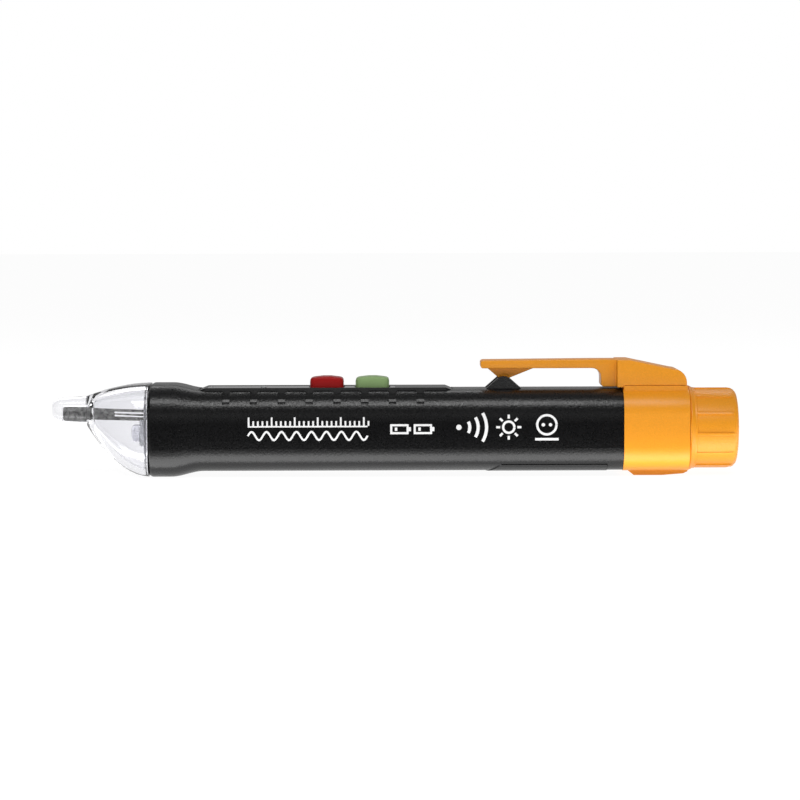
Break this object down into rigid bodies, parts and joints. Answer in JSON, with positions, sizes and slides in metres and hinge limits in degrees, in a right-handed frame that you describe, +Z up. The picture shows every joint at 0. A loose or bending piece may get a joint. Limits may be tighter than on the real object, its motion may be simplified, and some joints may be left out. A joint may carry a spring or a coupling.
{
  "type": "non contact voltage tester",
  "caption": "Pen-type non contact voltage tester with clear sensing nose, push keys, pocket clip and screw-off tail cap.",
  "frame": {"origin": "bottom centre of the bounding box, midway between nose tip and tail cap, on the surface the pen lies on", "axes": "+X along the pen from nose to tail cap, +Z up through the keys and the clip, +Y to the far side"},
  "size_m": [0.1656, 0.0222, 0.028],
  "materials": {
    "clear_nose": "clear polycarbonate, polished",
    "black_housing": "black ABS, fine satin grain",
    "panel_black": "black ABS, satin",
    "label_gloss": "glossy black overlay",
    "lens_clear": "tinted clear lens",
    "red_key": "red moulded key",
    "green_key": "green moulded key",
    "orange_housing": "orange ABS, satin",
    "steel": "zinc plated steel",
    "nickel_strip": "nickel plated contact strip",
    "antenna_metal": "tinned steel plate",
    "circuit_board": "green glass-epoxy board",
    "led_epoxy": "clear LED epoxy",
    "led_white": "white LED package",
    "holder_white": "pale translucent moulding",
    "chip_black": "black moulded package",
    "chip_tan": "ceramic chip parts",
    "tray_grey": "dark grey ABS",
    "cell_jacket": "printed cell jacket",
    "seal_rubber": "black nitrile rubber",
    "spring_steel": "nickel plated spring wire"
  },
  "bodies": {
    "housing": {"nose_cone": "clear_nose", "barrel": "black_housing", "top_panel": "panel_black", "panel_label": "label_gloss", "indicator_lens": "lens_clear", "pilot_lens": "lens_clear", "belly_cover": "black_housing", "cover_screws": "steel", "rear_collar": "orange_housing", "clip_base": "orange_housing", "cap_seal": "seal_rubber", "pcb": "circuit_board", "led_board": "circuit_board", "antenna_plate": "antenna_metal", "flashlight_led": "led_epoxy", "led_holder": "holder_white", "buzzer": "chip_black", "controller_chip": "chip_black", "indicator_leds": "led_white", "smd_parts": "chip_tan", "power_switch": "chip_black", "light_switch": "chip_black", "battery_tray": "tray_grey", "front_cell": "cell_jacket", "rear_cell": "cell_jacket", "cell_terminals": "steel", "front_contact": "nickel_strip", "negative_strip": "nickel_strip", "neck_contact": "nickel_strip"},
    "power_key": {"red_button": "red_key", "power_plunger": "chip_black"},
    "light_key": {"green_button": "green_key", "light_plunger": "chip_black"},
    "clip": {"clip_arm": "orange_housing"},
    "cap_carriage": {"tail_contact": "nickel_strip", "tail_spring": "spring_steel"},
    "cap": {"tail_cap": "orange_housing"}
  },
  "joints": [
    {"name": "red_press", "type": "slide", "parent": "housing", "child": "power_key", "axis": [0, 0, -1], "range_m": [0, 0.0006], "stiffness_N_per_m": 2500},
    {"name": "green_press", "type": "slide", "parent": "housing", "child": "light_key", "axis": [0, 0, -1], "range_m": [0, 0.0006], "stiffness_N_per_m": 2500},
    {"name": "clip_flex", "type": "hinge", "parent": "housing", "child": "clip", "pos_m": [0.0476, 0, 0.0269], "axis": [0, 1, 0], "range_deg": [0, 6], "stiffness_Nm_per_rad": 1.4},
    {"name": "cap_advance", "type": "slide", "parent": "housing", "child": "cap_carriage", "axis": [1, 0, 0], "range_m": [0, 0.005]},
    {"name": "cap_turn", "type": "hinge", "parent": "cap_carriage", "child": "cap", "pos_m": [0.0777, 0, 0.01115], "axis": [1, 0, 0], "range_deg": [0, 900]}
  ],
  "couplings": [
    {"joint": "cap_turn", "follows": "cap_advance", "rad_per_m": 3141.6}
  ]
}
